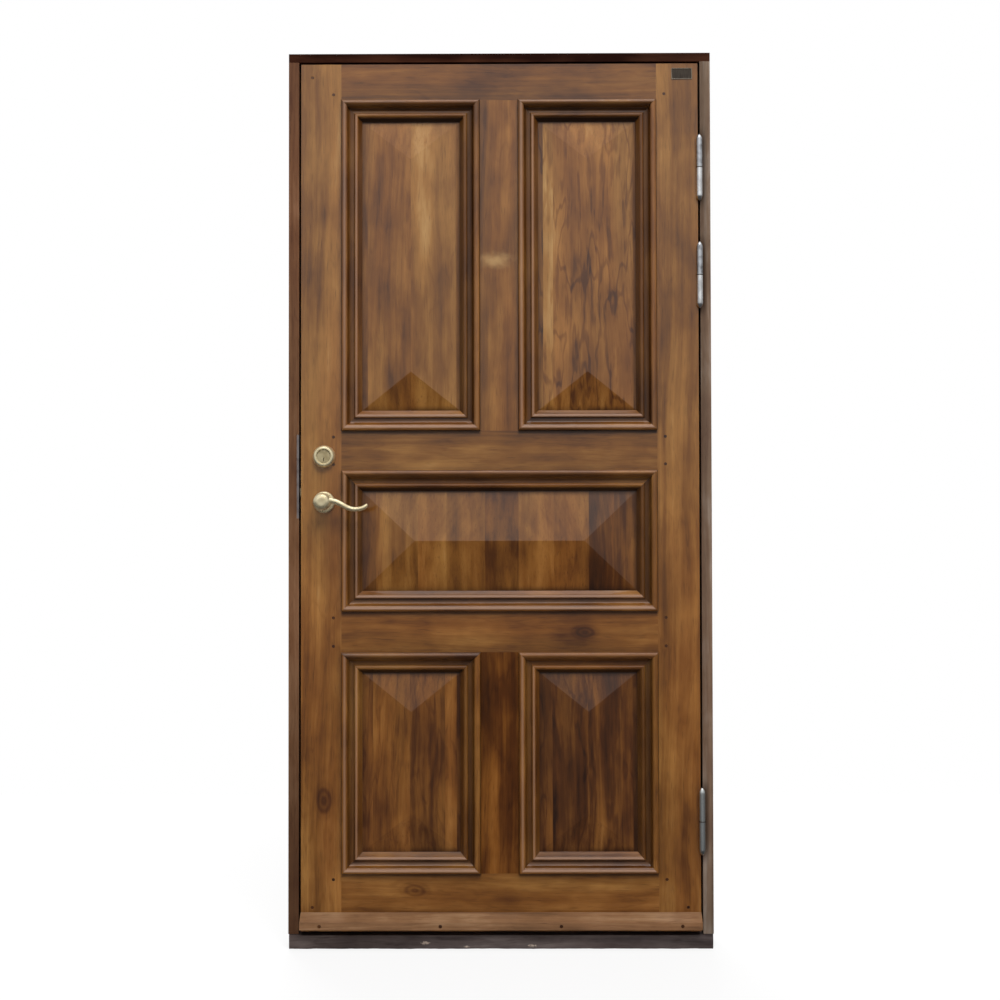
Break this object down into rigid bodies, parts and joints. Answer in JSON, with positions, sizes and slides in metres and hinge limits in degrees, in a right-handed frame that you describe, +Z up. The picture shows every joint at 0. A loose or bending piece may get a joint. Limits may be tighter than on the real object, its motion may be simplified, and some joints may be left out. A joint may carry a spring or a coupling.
{
  "type": "panelled front door",
  "caption": "Outward-opening panelled timber front door in its rebated frame, with hipped panels in double-bead mouldings, lift-off hinges, lever handles, a mortise lock and a weather bar",
  "frame": {"origin": "middle of the threshold's underside", "axes": "+Z up, +X to the hinge side, +Y into the house; the outside of the door faces -Y"},
  "size_m": [0.985, 0.172, 2.085],
  "materials": {
    "leaf_wood": "varnished teak",
    "frame_wood": "dark varnish",
    "sill_wood": "weathered",
    "peg_wood": "varnished end grain",
    "brass": "polished",
    "steel": "satin",
    "seal": "matt"
  },
  "bodies": {
    "frame": {"hinge_jamb": "frame_wood", "lock_jamb": "frame_wood", "head": "frame_wood", "threshold": "sill_wood", "door_seal": "seal", "frame_screws": "steel", "strike_plate": "steel", "strike_screws": "steel", "hinge_pins": "steel", "hinge_washers": "brass", "hinge_frame_screws": "steel", "hinge_frame_half_bottom": "steel", "hinge_frame_half_upper": "steel", "hinge_frame_half_top": "steel"},
    "leaf": {"lock_stile": "leaf_wood", "hinge_stile": "leaf_wood", "top_rail": "leaf_wood", "lock_rail": "leaf_wood", "middle_rail": "leaf_wood", "bottom_rail": "leaf_wood", "upper_muntin": "leaf_wood", "lower_muntin": "leaf_wood", "weather_bar": "leaf_wood", "weather_bar_plugs": "peg_wood", "tenon_pegs": "peg_wood", "lock_case": "steel", "lock_forend": "steel", "forend_screws": "steel", "hinge_leaf_screws": "steel", "outside_rose": "brass", "inside_rose": "brass", "turn_rose": "brass", "cylinder_ring": "brass", "lock_cylinder": "brass", "hinge_leaf_half_bottom": "steel", "hinge_leaf_half_upper": "steel", "hinge_leaf_half_top": "steel", "panel_upper_left": "leaf_wood", "panel_upper_right": "leaf_wood", "panel_middle": "leaf_wood", "panel_lower_left": "leaf_wood", "panel_lower_right": "leaf_wood", "outer_moulding_upper_left": "leaf_wood", "outer_moulding_upper_right": "leaf_wood", "outer_moulding_middle": "leaf_wood", "outer_moulding_lower_left": "leaf_wood", "outer_moulding_lower_right": "leaf_wood", "inner_moulding_upper_left": "leaf_wood", "inner_moulding_upper_right": "leaf_wood", "inner_moulding_middle": "leaf_wood", "inner_moulding_lower_left": "leaf_wood", "inner_moulding_lower_right": "leaf_wood"},
    "lever_set": {"outside_lever": "brass", "inside_lever": "brass", "spindle": "steel", "follower": "steel"},
    "latch": {"latch_bolt": "brass"},
    "deadbolt": {"dead_bolt": "steel"},
    "lock_turn": {"key_plug": "brass", "thumb_turn": "brass"}
  },
  "joints": [
    {"name": "door_swing", "type": "hinge", "parent": "frame", "child": "leaf", "pos_m": [0.466, -0.061, 1], "axis": [0, 0, 1], "range_deg": [0, 105]},
    {"name": "lever_turn", "type": "hinge", "parent": "leaf", "child": "lever_set", "pos_m": [-0.4095, -0.0245, 1.035], "axis": [0, 1, 0], "range_deg": [0, 45], "stiffness_Nm_per_rad": 1.2, "springref_deg": -28.65},
    {"name": "latch_slide", "type": "slide", "parent": "leaf", "child": "latch", "axis": [1, 0, 0], "range_m": [0, 0.012]},
    {"name": "thumb_turn", "type": "hinge", "parent": "leaf", "child": "lock_turn", "pos_m": [-0.4095, -0.0245, 1.134], "axis": [0, 1, 0], "range_deg": [0, 90]},
    {"name": "deadbolt_slide", "type": "slide", "parent": "leaf", "child": "deadbolt", "axis": [-1, 0, 0], "range_m": [0, 0.018]}
  ],
  "couplings": [
    {"joint": "latch_slide", "follows": "lever_turn", "m_per_rad": 0.015},
    {"joint": "thumb_turn", "follows": "deadbolt_slide", "rad_per_m": 87.26}
  ]
}
